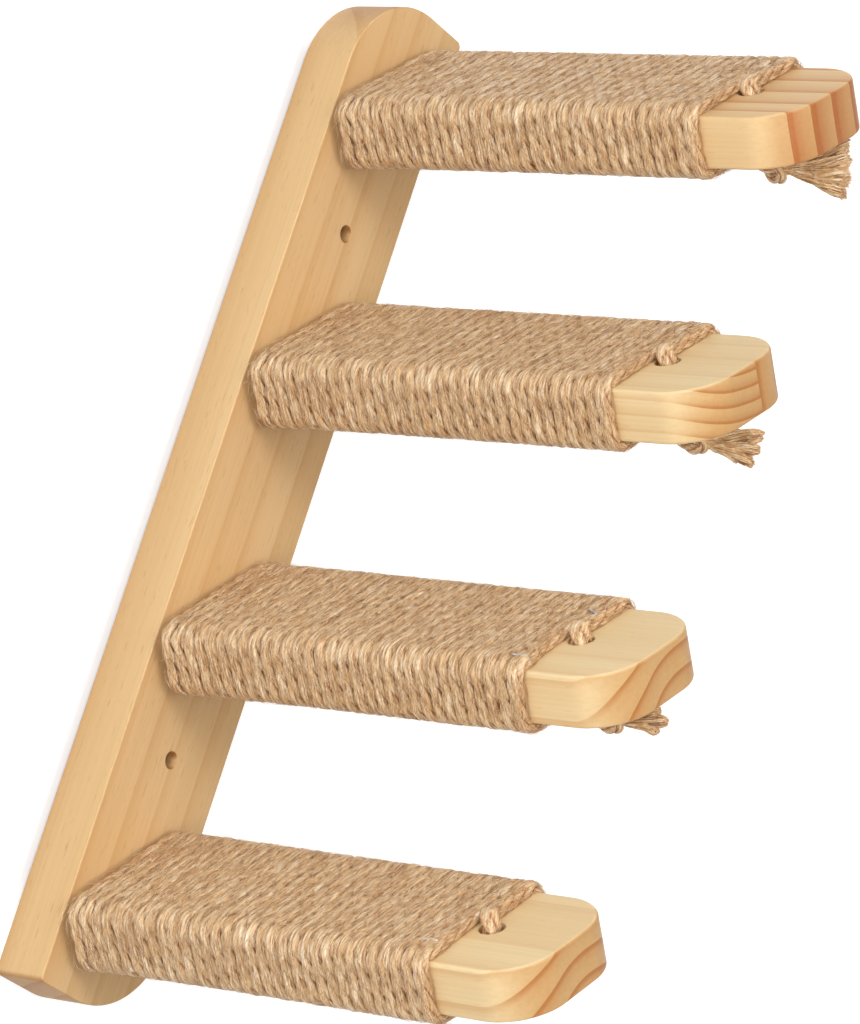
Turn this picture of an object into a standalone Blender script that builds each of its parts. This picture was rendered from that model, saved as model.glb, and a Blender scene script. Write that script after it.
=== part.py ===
"""Cat wall steps: a leaning pine backboard that carries four pine steps wound with jute rope.

Metres, +Z up. The origin is the middle of the backboard's back face, which lies on the wall.
+X runs along the wall to the right, +Y points into the wall, and the steps stand out along -Y.
"""

import math

import bmesh
import bpy
import numpy as np
from mathutils import Matrix, Vector

# Overall layout
step_count = 4
step_rise = 0.096             # height from one step to the next
step_run = 0.096              # way along the wall from one step to the next
touch_gap = 0.0003            # air between pieces that touch
cut_overrun = 0.004           # how far a cutter runs past the face that it opens

# Backboard
board_width = 0.075
board_thickness = 0.028
board_end_margin = 0.054      # from the middle of the outer steps to the board's ends
board_end_radius = 0.048      # the two rounded corners, at opposite ends
board_edge_round = 0.0025

# Steps
step_width = 0.075
step_thickness = 0.025
step_length = 0.256           # from the board's front face to the tip
step_corner_radius = 0.026
step_edge_round = 0.003

# Wall screw holes, between the first two and the last two steps
wall_hole_diameter = 0.009
wall_hole_depth = 0.018
wall_hole_neck_diameter = 0.0065

# Wood screws that hold the steps
screws_per_step = 2
screw_spacing = 0.036
screw_length = 0.060
screw_shank_diameter = 0.0046
screw_head_diameter = 0.0092
screw_head_height = 0.0027
screw_point_length = 0.006
screw_head_sink = 0.0005      # the head lies this deep under the board's back face
screw_socket_width = 0.0036
screw_socket_depth = 0.0018

# Rope
rope_thickness = 0.0046       # measured square to the wood, where the rope is pulled flat
rope_turns = 22.5
rope_turn_gap = 0.0006        # air between two turns
rope_hole_diameter = 0.012
rope_hole_margin = 0.043      # from the hole's middle to the step's tip
rope_last_turn_lead = 0.0046  # from the last turn's middle, half way over, to the hole's middle
rope_round_diameter = 0.0062  # where the rope is free to be round, in its hole
rope_side_share = 0.30        # of the rope's width that its flat sides take up, each way

# Knots under the tips
knot_width = 0.017
knot_height = 0.0175
knot_shift = 0.0045           # towards the tip, from the hole's middle
knot_lobes = 3
knot_lobe_share = 0.10        # how far the lobes swell, of the radius

# Frayed tails, from the top step down
tail_root_diameter = 0.0072
tail_lengths = (0.039, 0.035, 0.030, 0.033)
tail_flare_widths = (0.0245, 0.0210, 0.0150, 0.0180)
tail_flare_depths = (0.0110, 0.0100, 0.0085, 0.0090)
tail_drop_shares = (0.10, 0.06, -0.02, 0.04)    # of the tail's length, down at its end
tail_side_shares = (-0.14, -0.10, 0.10, -0.06)  # of the tail's length, sideways at its end

# Each knot's and its tail's turn in degrees, from straight out towards the step's far side
knot_turns = (0.0, 0.0, 0.0, 90.0)

# Staples that pin the last turns
staple_wire = 0.0010
staple_bite = 0.0060          # how deep the legs go into the wood

# Each staple's name, its step counted from 0, its place across the step as a share of the
# width, how far its middle lies past its turn's middle as a share of the pitch, and the turn
# of its crown in degrees
staple_place_shares = (
    ("staple_step_3_far", 2, 0.24, 0.0, -28.0),
    ("staple_step_3_near", 2, -0.44, 0.36, 0.0),
    ("staple_step_4", 3, -0.36, 0.0, 0.0),
)

# Numbers of faces
round_cut_sides = 24
screw_sides = 12
staple_sides = 6
arc_steps = 10
edge_round_steps = 2
points_per_turn = 8
knot_rings = 8
knot_sides = 14
tail_rings = 7
tail_sides = 12

# Sizes that follow from the ones above
step_spacing = math.hypot(step_rise, step_run)
board_lean = math.atan2(step_run, step_rise)
board_length = (step_count - 1) * step_spacing + 2 * board_end_margin
rope_hole_out = board_thickness + step_length - rope_hole_margin
rope_first = board_thickness + touch_gap
rope_last = rope_hole_out - rope_last_turn_lead
rope_pitch = (rope_last - rope_first + rope_turn_gap / 2) / (rope_turns + 0.5)
rope_width = rope_pitch - rope_turn_gap
rope_radius_out = touch_gap + rope_thickness / 2
rope_bend_start = rope_hole_diameter / 2 + touch_gap
staple_crown = rope_pitch + staple_wire


def clear_scene():
    """Remove everything that the file held before."""
    for obj in list(bpy.data.objects):
        bpy.data.objects.remove(obj, do_unlink=True)


def make_material(name, colour, roughness, metallic):
    """A Principled material with one colour, roughness and metallic value."""
    material = bpy.data.materials.new(name)
    material.use_nodes = True
    shader = material.node_tree.nodes["Principled BSDF"]
    shader.inputs["Base Color"].default_value = (*colour, 1.0)
    shader.inputs["Roughness"].default_value = roughness
    shader.inputs["Metallic"].default_value = metallic
    material.diffuse_color = (*colour, 1.0)
    return material


def add_object(name, mesh, material, location=(0, 0, 0), rotation=(0, 0, 0)):
    """Put a mesh into the scene under a name, with its material and its place."""
    obj = bpy.data.objects.new(name, mesh)
    bpy.context.scene.collection.objects.link(obj)
    if material is not None:
        mesh.materials.append(material)
    obj.location = location
    obj.rotation_euler = rotation
    return obj


def mesh_from(bm, name):
    """Turn a bmesh into a mesh whose faces point out."""
    bmesh.ops.recalc_face_normals(bm, faces=bm.faces)
    mesh = bpy.data.meshes.new(name)
    bm.to_mesh(mesh)
    bm.free()
    return mesh


def shade_round(obj):
    """Smooth shading with the sharp edges kept."""
    obj.data.shade_smooth()
    obj.data.set_sharp_from_angle(angle=math.radians(35))


def arc(centre, radius, start, end):
    """Points of an arc, angles in degrees, both ends included."""
    angles = np.radians(np.linspace(start, end, arc_steps + 1))
    return [(centre[0] + radius * math.cos(a), centre[1] + radius * math.sin(a)) for a in angles]


def plank(outline, thickness, edge_round, keep_sharp):
    """Extrude an outline in XY up by the thickness and round its edges.

    keep_sharp says by an edge's two ends whether the edge stays as it was cut.
    """
    bm = bmesh.new()
    corners = [bm.verts.new((x, y, 0)) for x, y in outline]
    face = bm.faces.new(corners)
    grown = bmesh.ops.extrude_face_region(bm, geom=[face])
    lifted = [item for item in grown["geom"] if isinstance(item, bmesh.types.BMVert)]
    bmesh.ops.translate(bm, verts=lifted, vec=(0, 0, thickness))
    bmesh.ops.recalc_face_normals(bm, faces=bm.faces)
    bm.normal_update()
    least_turn = math.radians(40)
    chosen = []
    for edge in bm.edges:
        turns = edge.calc_face_angle(0) > least_turn
        if turns and not keep_sharp(edge.verts[0].co, edge.verts[1].co):
            chosen.append(edge)
    bmesh.ops.bevel(bm, geom=chosen, offset=edge_round, segments=edge_round_steps, profile=0.5,
                    affect="EDGES", clamp_overlap=False)
    return bm


def turned_profile(bm, profile, sides):
    """Spin points (radius, height) about the Z axis into a closed solid; both ends lie on the axis."""
    rings = []
    for radius, height in profile:
        if radius == 0:
            rings.append([bm.verts.new((0, 0, height))])
        else:
            turn = 2 * math.pi / sides
            rings.append([bm.verts.new((radius * math.cos(turn * i), radius * math.sin(turn * i), height))
                          for i in range(sides)])
    for low, high in zip(rings[:-1], rings[1:]):
        for i in range(sides):
            j = (i + 1) % sides
            corners = [low[i % len(low)], low[j % len(low)], high[j % len(high)], high[i % len(high)]]
            bm.faces.new(list(dict.fromkeys(corners)))


def cutter_turned(name, profile, sides, place):
    """A hidden turned cutter, placed by a matrix."""
    bm = bmesh.new()
    turned_profile(bm, profile, sides)
    bmesh.ops.transform(bm, matrix=place, verts=bm.verts)
    cutter = add_object(name, mesh_from(bm, name), None)
    cutter.hide_render = True
    cutter.display_type = "WIRE"
    return cutter


def cut_all(target, cutters):
    """Cut a piece with each cutter in turn."""
    for cutter in cutters:
        cut = target.modifiers.new("cut_" + cutter.name, "BOOLEAN")
        cut.operation = "DIFFERENCE"
        cut.solver = "EXACT"
        cut.object = cutter


def step_middle(index):
    """Where step number index, counted from the top, has the middle of its section on the wall."""
    along = (step_count - 1) / 2 - index
    return along * step_run, along * step_rise


def from_step(index, out, across, up):
    """A point given by its way out from the wall, across the step and up from its middle."""
    x, z = step_middle(index)
    return Vector((x + across, -out, z + up))


def screw_offsets():
    """Where a step's screws sit across the step."""
    return [(i - (screws_per_step - 1) / 2) * screw_spacing for i in range(screws_per_step)]


def facing_wall(point):
    """Matrix that lays a turned shape's +Z along +Y, towards the wall, at a point."""
    return Matrix.Translation(point) @ Matrix.Rotation(-math.pi / 2, 4, "X")


def screw_hole(name, index, across):
    """Cutter for one wood screw: its countersink, its way through the board and its pilot hole."""
    shank = screw_shank_diameter / 2 + touch_gap
    head = screw_head_diameter / 2 + touch_gap
    bottom = -screw_length - 2 * touch_gap - screw_head_sink
    cone = -screw_head_sink - screw_head_height
    profile = [(0, bottom), (shank, bottom), (shank, cone), (head, -screw_head_sink),
               (head, cut_overrun), (0, cut_overrun)]
    return cutter_turned(name, profile, screw_sides, facing_wall(from_step(index, 0, across, 0)))


def wall_hole(name, along):
    """Cutter for one stepped wall screw hole, along being its way up the board from the middle."""
    wide = wall_hole_diameter / 2
    neck = wall_hole_neck_diameter / 2
    ledge = -board_thickness + wall_hole_depth
    profile = [(0, -board_thickness - cut_overrun), (wide, -board_thickness - cut_overrun),
               (wide, ledge), (neck, ledge), (neck, cut_overrun), (0, cut_overrun)]
    point = Vector((along * math.sin(board_lean), 0, along * math.cos(board_lean)))
    return cutter_turned(name, profile, round_cut_sides, facing_wall(point))


def make_backboard(material):
    """The leaning plank, two opposite corners rounded, with its screw holes."""
    half_width = board_width / 2
    half_length = board_length / 2
    side = half_width - board_end_radius
    end = half_length - board_end_radius
    outline = [(half_width, half_length)]
    outline += arc((-side, end), board_end_radius, 90, 180)
    outline += [(-half_width, -half_length)]
    outline += arc((side, -end), board_end_radius, 270, 360)
    bm = plank(outline, board_thickness, board_edge_round, lambda a, b: False)
    # the plank is drawn with its length along Y, then stood up, turned to the room and leant
    stand = Matrix.Rotation(board_lean, 4, "Y") @ Matrix.Rotation(math.pi / 2, 4, "X")
    bmesh.ops.transform(bm, matrix=stand, verts=bm.verts)
    board = add_object("backboard", mesh_from(bm, "backboard"), material)
    cutters = [wall_hole("cut_wall_hole_high", step_spacing * (step_count - 2) / 2),
               wall_hole("cut_wall_hole_low", -step_spacing * (step_count - 2) / 2)]
    for index in range(step_count):
        for number, across in enumerate(screw_offsets()):
            cutters.append(screw_hole("cut_screw_%d_%d" % (index + 1, number + 1), index, across))
    cut_all(board, cutters)
    return cutters


def rope_loop():
    """One turn's corners as rows (across, up), and the way from the first corner to each.

    The turn goes round a rectangle whose corners are cut so far that the straight stretch
    there clears the wood's rounded edge. The way's last entry is the whole way round.
    """
    wide = step_width / 2 + rope_radius_out
    high = step_thickness / 2 + rope_radius_out
    share = 1 - math.sqrt(0.5)
    corner = 2 * share * touch_gap + share * rope_thickness + 2 * share * step_edge_round
    far_side = np.array([(wide - corner, -high), (wide, -high + corner),
                         (wide, high - corner), (wide - corner, high)])
    loop = np.concatenate([far_side, -far_side])
    stretches = np.linalg.norm(np.roll(loop, -1, axis=0) - loop, axis=1)
    return loop, np.concatenate([[0], np.cumsum(stretches)])


def staple_place(index, across_share, pitch_share, turn):
    """Matrix of a staple: its crown along X before it is turned, at the crown's middle."""
    loop, way = rope_loop()
    across = across_share * step_width
    turns_before_end = across / way[-1] % 1
    out = rope_last + (pitch_share - turns_before_end) * rope_pitch
    top = step_thickness / 2 + 2 * touch_gap + rope_thickness + staple_wire / 2
    point = from_step(index, out, across, top)
    return Matrix.Translation(point) @ Matrix.Rotation(math.radians(90 + turn), 4, "Z")


def staple_legs(name, place):
    """Cutters for a staple's two legs, through the rope and into the wood."""
    depth = staple_wire / 2 + rope_thickness + 2 * touch_gap + staple_bite + touch_gap
    radius = staple_wire / 2 + touch_gap
    profile = [(0, -depth), (radius, -depth), (radius, cut_overrun), (0, cut_overrun)]
    legs = []
    for number, side in enumerate((-1, 1)):
        spot = Matrix.Translation((side * (staple_crown - staple_wire) / 2, 0, 0))
        leg = "cut_%s_leg_%d" % (name, number + 1)
        legs.append(cutter_turned(leg, profile, staple_sides, place @ spot))
    return legs


def make_step(index, material, screw_cutters, staple_cutters):
    """One step board: rounded tip corners, the rope's hole, screw and staple holes."""
    half = step_width / 2
    root = board_thickness + touch_gap
    tip = board_thickness + step_length
    inner = tip - step_corner_radius
    side = half - step_corner_radius
    outline = [(-half, -root)]
    outline += arc((-side, -inner), step_corner_radius, 180, 270)
    outline += arc((side, -inner), step_corner_radius, 270, 360)
    outline += [(half, -root)]
    cut_end = -root - touch_gap
    bm = plank(outline, step_thickness, step_edge_round, lambda a, b: a.y > cut_end and b.y > cut_end)
    x, z = step_middle(index)
    bmesh.ops.translate(bm, verts=bm.verts, vec=(x, 0, z - step_thickness / 2))
    name = "step_board_%d" % (index + 1)
    step = add_object(name, mesh_from(bm, name), material)
    rope_hole = rope_hole_diameter / 2
    reach = step_thickness / 2 + cut_overrun
    profile = [(0, -reach), (rope_hole, -reach), (rope_hole, reach), (0, reach)]
    place = Matrix.Translation(from_step(index, rope_hole_out, 0, 0))
    hole = cutter_turned("cut_rope_hole_%d" % (index + 1), profile, round_cut_sides, place)
    cut_all(step, [hole] + screw_cutters + staple_cutters)
    return step


def make_screw(name, index, across, material):
    """One countersunk wood screw with a six-sided socket, its head at the board's back."""
    shank = screw_shank_diameter / 2
    head = screw_head_diameter / 2
    top = -screw_head_sink
    tip = top - screw_length
    bm = bmesh.new()
    profile = [(0, tip), (shank, tip + screw_point_length), (shank, top - screw_head_height),
               (head, top - touch_gap), (head, top), (0, top)]
    turned_profile(bm, profile, screw_sides)
    place = facing_wall(from_step(index, 0, across, 0))
    bmesh.ops.transform(bm, matrix=place, verts=bm.verts)
    screw = add_object(name, mesh_from(bm, name), material)
    reach = screw_socket_width / 2
    socket = [(0, top - screw_socket_depth), (reach, top - screw_socket_depth),
              (reach, cut_overrun), (0, cut_overrun)]
    cut_all(screw, [cutter_turned("cut_socket_" + name, socket, 6, place)])
    return screw


def rope_path():
    """Middle line of a winding as rows (out, across, up), from its start under the step.

    Each turn has eight points: along the underside to the far side, up, over the top to the
    near side and down, while it moves out from the board by one pitch. The last half turn
    ends over the hole and dives into it.
    """
    loop, way = rope_loop()
    high = loop[:, 1].max()
    first_half = loop[0][0]
    around = way[-1]
    rows = [(0.0, 0.0, -high)]
    for turn in range(int(rope_turns) + 1):
        for number, (across, up) in enumerate(loop):
            travelled = turn * around + first_half + way[number]
            if travelled < rope_turns * around:
                rows.append((travelled / around, across, up))
    start = rope_first + rope_width / 2
    path = np.array([(start + rope_pitch * turns, across, up) for turns, across, up in rows])
    dive = [(rope_last, rope_bend_start, high),
            (rope_hole_out - rope_last_turn_lead / 3, rope_bend_start / 3, high),
            (rope_hole_out, 0, high - rope_thickness),
            (rope_hole_out, 0, step_thickness / 4),
            (rope_hole_out, 0, -step_thickness / 2)]
    return np.concatenate([path, np.array(dive)])


def rope_sizes(path):
    """Half width and half thickness of the rope at each point: flat on the wood, round in the hole."""
    over_hole = path[:, 0] > rope_last + touch_gap
    in_hole = over_hole & (path[:, 1] == 0)
    half_width = np.where(over_hole, rope_round_diameter, rope_width) / 2
    half_thickness = np.where(in_hole, rope_round_diameter, rope_thickness) / 2
    return half_width, half_thickness


def flat_tube(path, half_width, half_thickness):
    """Rings of a six-sided flat tube along a path of rows (out, across, up).

    A ring's wide direction is the way out from the wall, squared to the path, and its thin
    direction is square to both. At a bend the ring is widened, so that the tube keeps its
    thickness on both sides of the bend.
    """
    steps = np.diff(path, axis=0)
    steps /= np.linalg.norm(steps, axis=1)[:, None]
    before = np.concatenate([steps[:1], steps])
    after = np.concatenate([steps, steps[-1:]])
    tangent = before + after
    tangent /= np.linalg.norm(tangent, axis=1)[:, None]
    out = np.array([1.0, 0.0, 0.0])
    wide = out - tangent * (tangent @ out)[:, None]
    wide /= np.linalg.norm(wide, axis=1)[:, None]
    thin = np.cross(tangent, wide)
    widen = 1 / np.sum(before * tangent, axis=1)
    section = np.array([(1, 0), (2 * rope_side_share, 1), (-2 * rope_side_share, 1), (-1, 0),
                        (-2 * rope_side_share, -1), (2 * rope_side_share, -1)])
    across_part = section[:, 0][None, :, None] * (wide * half_width[:, None])[:, None, :]
    thin_part = section[:, 1][None, :, None] * (thin * (widen * half_thickness)[:, None])[:, None, :]
    return path[:, None, :] + across_part + thin_part


def least_gap(rings):
    """Least distance between points on the tube's long edges that are most of a turn apart."""
    shares = np.linspace(0, 1, 5)[:-1]
    between = rings[:-1, None] + (rings[1:] - rings[:-1])[:, None] * shares[None, :, None, None]
    points = between.reshape(-1, 3)
    each = len(shares) * rings.shape[1]
    ring = np.arange(len(points)) // each
    least = math.inf
    for number in range(len(rings) - 1):
        here = points[ring == number]
        there = points[ring >= number + points_per_turn - 2]
        if len(there):
            apart = np.linalg.norm(there[None, :, :] - here[:, None, :], axis=2)
            least = min(least, apart.min())
    return least


def skin_rings(bm, rings):
    """Faces between neighbouring rings of points; gives back the rings' vertices."""
    rows = [[bm.verts.new(point) for point in ring] for ring in rings]
    sides = len(rows[0])
    for one, two in zip(rows[:-1], rows[1:]):
        for i in range(sides):
            j = (i + 1) % sides
            bm.faces.new((one[i], one[j], two[j], two[i]))
    return rows


def make_winding(index, material, rings, cutters):
    """The winding of one step: one unbroken tube from its start under the step to the knot."""
    bm = bmesh.new()
    rows = skin_rings(bm, [[from_step(index, *point) for point in ring] for ring in rings])
    bm.faces.new(rows[0])
    bm.faces.new(rows[-1])
    name = "rope_winding_%d" % (index + 1)
    winding = add_object(name, mesh_from(bm, name), material)
    cut_all(winding, cutters)
    shade_round(winding)


def closed_rings(name, rings, low, high, material):
    """A solid from rings of points, closed by one point at each end."""
    bm = bmesh.new()
    rows = skin_rings(bm, rings)
    for point, row in ((bm.verts.new(low), rows[0]), (bm.verts.new(high), rows[-1])):
        for one, two in zip(row, row[1:] + row[:1]):
            bm.faces.new((one, two, point))
    obj = add_object(name, mesh_from(bm, name), material)
    shade_round(obj)
    return obj


def knot_middle(index):
    """The middle of a knot, just under the step's underside."""
    out = rope_hole_out + knot_shift
    up = -step_thickness / 2 - touch_gap - knot_height / 2
    return from_step(index, out, 0, up)


def knot_turned(index):
    """The turn of a knot and its tail about the knot's upright."""
    return Matrix.Rotation(math.radians(knot_turns[index]), 3, "Z")


def make_knot(index, material):
    """A squat ball with lobes that lean round it, flat on top where it seats on the wood."""
    middle = knot_middle(index)
    round_knot = knot_turned(index)
    turn = np.linspace(0, 2 * np.pi, knot_sides, endpoint=False)
    rings = []
    for number in range(1, knot_rings):
        down = np.pi * number / knot_rings
        lobes = 1 + knot_lobe_share * np.cos(knot_lobes * turn + 2 * down) * math.sin(down)
        radius = knot_width / 2 * math.sin(down) ** (2 / 3) * lobes / (1 + knot_lobe_share)
        height = -knot_height / 2 * math.cos(down)
        rings.append([middle + round_knot @ Vector((r * math.cos(a), r * math.sin(a), height))
                      for r, a in zip(radius, turn)])
    low = middle - Vector((0, 0, knot_height / 2))
    high = middle + Vector((0, 0, knot_height / 2))
    closed_rings("rope_knot_%d" % (index + 1), rings, low, high, material)


def make_tail(index, material):
    """A frayed tail: round where it leaves the knot, fanned out flat and ragged at its end."""
    length = tail_lengths[index]
    knot = knot_middle(index)
    round_knot = knot_turned(index)
    root = Vector((0, -knot_width / 2 - touch_gap, 0))
    end = root + Vector((tail_side_shares[index] * length, -length, -tail_drop_shares[index] * length))
    turn = np.linspace(0, 2 * np.pi, tail_sides, endpoint=False)
    rings = []
    for number in range(tail_rings):
        share = number / (tail_rings - 1)
        fan = share ** (3 / 2)
        wide = (1 - fan) * tail_root_diameter + fan * tail_flare_widths[index]
        deep = (1 - fan) * tail_root_diameter + fan * tail_flare_depths[index]
        ragged = 1 + share * np.cos(3 * turn + index) / tail_sides
        middle = root.lerp(end, share)
        ring = [middle + Vector((deep / 2 * math.cos(a) * r, 0, wide / 2 * math.sin(a) * r))
                for a, r in zip(turn, ragged)]
        rings.append([knot + round_knot @ point for point in ring])
    low = knot + round_knot @ root
    high = knot + round_knot @ end
    closed_rings("rope_tail_%d" % (index + 1), rings, low, high, material)


def make_staple(name, place, material):
    """A bent wire: a crown over the rope and two legs into the wood."""
    half = (staple_crown - staple_wire) / 2
    depth = staple_wire / 2 + rope_thickness + 2 * touch_gap + staple_bite
    curve = bpy.data.curves.new(name, "CURVE")
    curve.dimensions = "3D"
    curve.bevel_depth = staple_wire / 2
    curve.bevel_resolution = 1
    curve.use_fill_caps = True
    line = curve.splines.new("POLY")
    bend = staple_wire
    points = [(-half, -depth), (-half, -bend), (-half + bend, 0),
              (half - bend, 0), (half, -bend), (half, -depth)]
    line.points.add(len(points) - 1)
    for point, (along, up) in zip(line.points, points):
        point.co = (*(place @ Vector((along, 0, up))), 1)
    staple = bpy.data.objects.new(name, curve)
    bpy.context.scene.collection.objects.link(staple)
    curve.materials.append(material)


def build():
    """Make every piece."""
    clear_scene()
    pine = make_material("pine", (0.72, 0.49, 0.25), 0.55, 0.0)
    jute = make_material("jute", (0.50, 0.33, 0.17), 0.9, 0.0)
    zinc = make_material("zinc_steel", (0.62, 0.60, 0.55), 0.35, 1.0)
    wire = make_material("staple_steel", (0.65, 0.65, 0.66), 0.3, 1.0)

    board_cutters = make_backboard(pine)
    screw_cutters = board_cutters[-step_count * screws_per_step:]
    path = rope_path()
    rings = flat_tube(path, *rope_sizes(path))
    print("least gap of a winding to itself: %.2f mm" % (1000 * least_gap(rings)))

    places = {row[0]: (row[1], staple_place(*row[1:])) for row in staple_place_shares}
    leg_cutters = {name: staple_legs(name, place) for name, (index, place) in places.items()}
    for index in range(step_count):
        legs = [leg for name, (at, place) in places.items() if at == index for leg in leg_cutters[name]]
        mine = screw_cutters[index * screws_per_step:(index + 1) * screws_per_step]
        make_step(index, pine, mine, legs)
        make_winding(index, jute, rings, legs)
        make_knot(index, jute)
        make_tail(index, jute)
        for number, across in enumerate(screw_offsets()):
            make_screw("step_screw_%d_%s" % (index + 1, "ab"[number]), index, across, zinc)
    for name, (index, place) in places.items():
        make_staple(name, place, wire)


build()
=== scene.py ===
"""The looks of the cat wall steps: pine boards, jute rope windings, knots and frayed tails.

Metres, +Z up. The wall is the plane Y = 0 and the steps stand out along -Y. A place on a step
is given as (out, across, up): out from the wall, across the step to the right and up from the
middle of its thickness.
"""

import math

import bpy
import numpy as np
from mathutils import Matrix, Vector
from mathutils.geometry import delaunay_2d_cdt


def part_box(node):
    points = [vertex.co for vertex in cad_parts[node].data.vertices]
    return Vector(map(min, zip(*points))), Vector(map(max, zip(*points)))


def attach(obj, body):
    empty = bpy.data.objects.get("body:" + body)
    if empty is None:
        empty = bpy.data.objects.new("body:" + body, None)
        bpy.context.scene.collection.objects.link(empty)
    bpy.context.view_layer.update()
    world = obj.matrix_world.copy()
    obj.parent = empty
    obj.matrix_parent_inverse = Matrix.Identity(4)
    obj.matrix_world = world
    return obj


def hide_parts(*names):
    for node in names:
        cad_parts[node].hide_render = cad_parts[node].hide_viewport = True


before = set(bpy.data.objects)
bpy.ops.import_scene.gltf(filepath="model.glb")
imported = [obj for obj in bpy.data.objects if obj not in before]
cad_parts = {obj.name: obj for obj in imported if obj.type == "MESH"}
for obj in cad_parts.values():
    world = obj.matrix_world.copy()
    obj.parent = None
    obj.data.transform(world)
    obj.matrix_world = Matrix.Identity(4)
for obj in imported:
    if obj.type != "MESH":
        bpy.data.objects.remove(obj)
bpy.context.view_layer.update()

MM = 0.001
step_numbers = (1, 2, 3, 4)  # counted from the top


def per_step(*lengths):
    """A length for each step, from lengths in millimetres."""
    return {number: length * MM for number, length in zip(step_numbers, lengths)}


# Sizes read from the frame
board_low, board_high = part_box("backboard")
board_thickness = board_high.y - board_low.y
step_boxes = {k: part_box("step_board_%d" % k) for k in step_numbers}
step_low, step_high = step_boxes[1]
step_width = step_high.x - step_low.x
step_thickness = step_high.z - step_low.z
step_root = -step_high.y
step_tip = -step_low.y
step_middles = {k: ((low.x + high.x) / 2, (low.z + high.z) / 2) for k, (low, high) in step_boxes.items()}

# Boards
board_width = 75 * MM
board_length = 515.3 * MM
board_lean = math.radians(45)
board_end_radius = 48 * MM
board_edge_round = 0.6 * MM
step_corner_radius = 26 * MM
step_edge_round = 1.4 * MM
sharp_corner_radius = 3.2 * MM
flat_margin = 0.4 * MM  # a narrow flat ring beside each rounding keeps the shading flat
rim_round = 0.5 * MM  # eased rims of drilled holes
wall_rim_round = 0.3 * MM
wall_hole_radius = 4.5 * MM - wall_rim_round  # its eased rim is as wide as the solid's hole
wall_hole_neck_radius = 3.25 * MM
wall_hole_depth = 18 * MM
screw_head_radius = 4.9 * MM
screw_shank_radius = 2.6 * MM
screw_head_height = 3.2 * MM
screw_offset = 18 * MM  # of each screw from the step's middle
crease_angle = 40  # degrees between faces, past which a board's edge stays sharp

# Directions along, across and through the planks
step_axes = (0, -1, 0), (1, 0, 0), (0, 0, 1)
board_axes = (math.sqrt(0.5), 0, math.sqrt(0.5)), (math.sqrt(0.5), 0, -math.sqrt(0.5)), (0, 1, 0)

# Rope
rope_hole_radius = 6.0 * MM
rope_hole_out = step_tip - 43 * MM
rope_turns = 32.5
rope_first = step_root + 3.3 * MM
rope_last = rope_hole_out - 5.4 * MM
rope_last_shift = per_step(2.8, 1.7, 0.9, 0)
last_short = 10 * MM  # before its full turns the rope leaves for the hole
rope_wide = 6.75 * MM
rope_deep = 5.5 * MM
rope_free = per_step(10.2, 9.8, 11.2, 9)  # its thickness in the hole
rope_off_wood = 2.85 * MM  # from the wood's faces to the rope's middle line
root_near = 3.2 * MM  # how much prouder the first turns stand on the near side
root_far = 0.3 * MM  # on the far side
root_under = 1.4 * MM  # and on the underside
root_length = 36 * MM  # within this way out it falls to about a third
rope_far_out = per_step(1.4, 1.6, 2.8, 1.2)  # how far the last turn leans out on the far side
sway_out, sway_out_waves = 0.32 * MM, (83 * MM, 131 * MM, 290 * MM)  # uneven turns, sideways
sway_up, sway_up_waves = 0.25 * MM, (37 * MM, 91 * MM, 157 * MM)  # and in their height
calm_length = 30 * MM  # the sway dies away within this way before the dive
staple_cover = 1.2 * MM  # how far beyond a staple's middle the last turn is pushed
staple_reach = 8 * MM  # and how far to both sides of the staple that is felt
staple_dents = {"staple_step_3_far": 0.25 * MM, "staple_step_3_near": -0.35 * MM,
                "staple_step_4": -0.4 * MM}  # how far each presses the rope in; below 0 it rises
dent_across, dent_out = 5 * MM, 7 * MM  # half the dent's size
staple_fullness = 0.28  # and how much wider the staple makes the last turn
last_fullness = 0.16  # how much wider the last turn lies
last_out = 0.5 * MM  # how far it lies out from its place
ending_turns, ending_power = 1.7, 0.7  # it comes to that within these turns, at first fast
dive_rings = 24  # on its way from the last turn into the hole
dive_ease = 2.2  # the rope is as thick as in the hole after one part in 2.2 of this way
rope_corner = 6.6 * MM  # radius of the middle line at the wood's edges
rope_lay = 30 * MM
rope_ring_step = 1.7 * MM
strand_count = 3
points_per_strand = 7
strand_waves = (11 * MM, 27 * MM, 61 * MM)  # along a strand, in which it swells and thins
strand_swell = 0.06
side_fullness = 2.3  # how far the rope fills its corners on a step's sides: 2 is an ellipse
flat_fullness = 4.6  # the same on a step's top and underside
groove_share = 0.60  # how deep the grooves between strands are, of touching round strands
side_wear = 0.55  # how much of a groove's depth the rope's outer face loses on the sides
flat_wear = 0.88  # the same on a step's top and underside
curve_steps = 40  # between two given points of a smooth curve

# Knots
knot_lobe = 2.2 * MM
knot_width = per_step(2.9, 4.3, 4.3, 3.6)
knot_depth = 2.4 * MM
knot_rope = 5.4 * MM
knot_opening = 0.42  # of the closed trefoil, in its own angle, to each side of the cut
lobe_broader, lobe_longer = 0.6, 0.2
knot_samples, knot_rings = 60, 100
knot_middle = np.array([rope_hole_out + 7.2 * MM, -1.0 * MM, -step_thickness / 2 - 8.4 * MM])
knot_axis_out = rope_hole_out + 4.5 * MM
knot_turns = {1: 0, 2: 0, 3: 0, 4: 90}  # in degrees, from straight out towards the far side

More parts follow.
